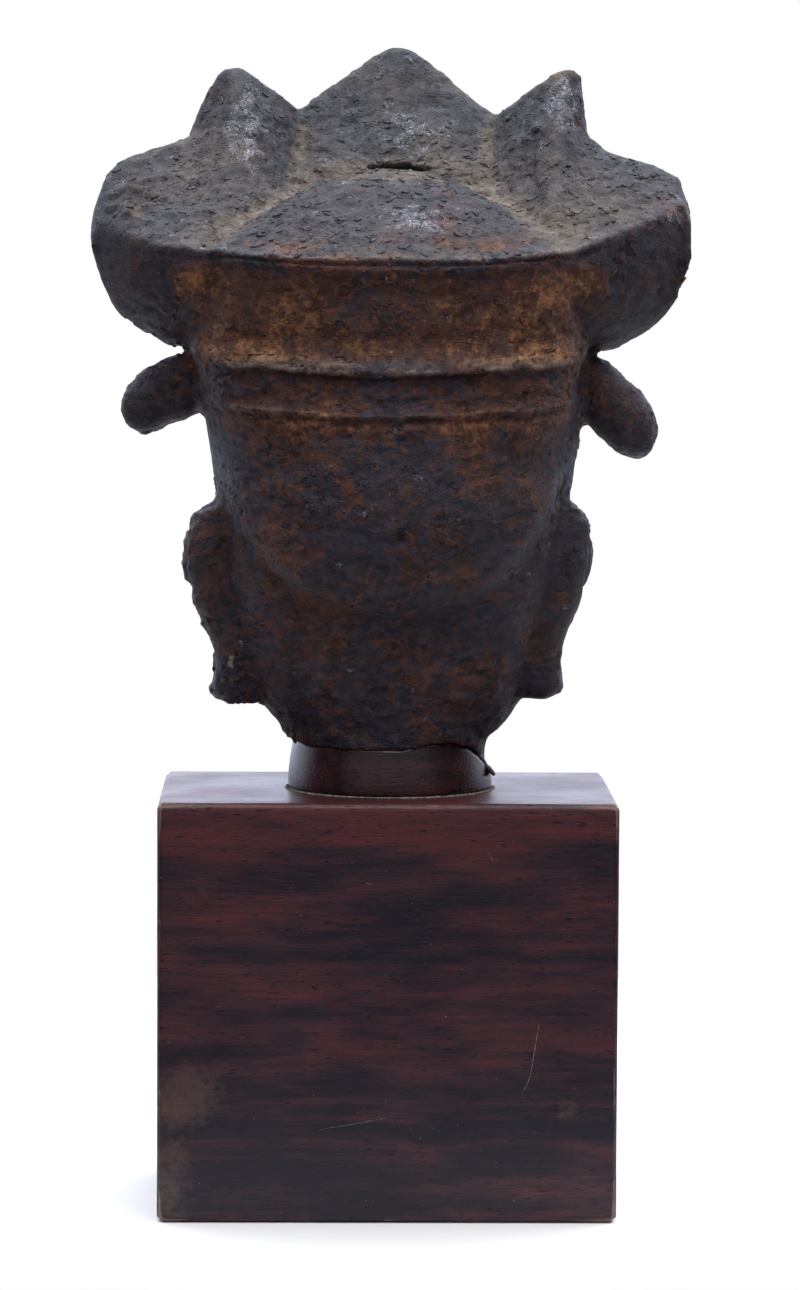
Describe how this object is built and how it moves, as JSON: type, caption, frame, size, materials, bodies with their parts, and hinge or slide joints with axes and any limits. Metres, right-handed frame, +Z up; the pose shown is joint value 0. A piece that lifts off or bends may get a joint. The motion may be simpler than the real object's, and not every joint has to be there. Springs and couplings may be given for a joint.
{
  "type": "iron head on a wooden stand",
  "caption": "Broken cast iron head of a crowned deity with long ears and a calm face, its flat back rough with rust, on a turned wooden collar and a dark wooden block.",
  "frame": {"origin": "the middle of the block's underside", "axes": "+Z up, +Y the way the face looks, -Y the back of the head, +X to the right of someone looking at the back"},
  "size_m": [0.2126, 0.139, 0.4125],
  "materials": {
    "iron": "rough, flaked and rusted, with pale dust on what faces up",
    "collar_wood": "dark satin varnish",
    "block_wood": "dark satin varnish over banded grain, worn at the edges"
  },
  "bodies": {
    "root": {"iron_head": "iron", "wooden_collar": "collar_wood", "wooden_block": "block_wood"}
  },
  "joints": []
}
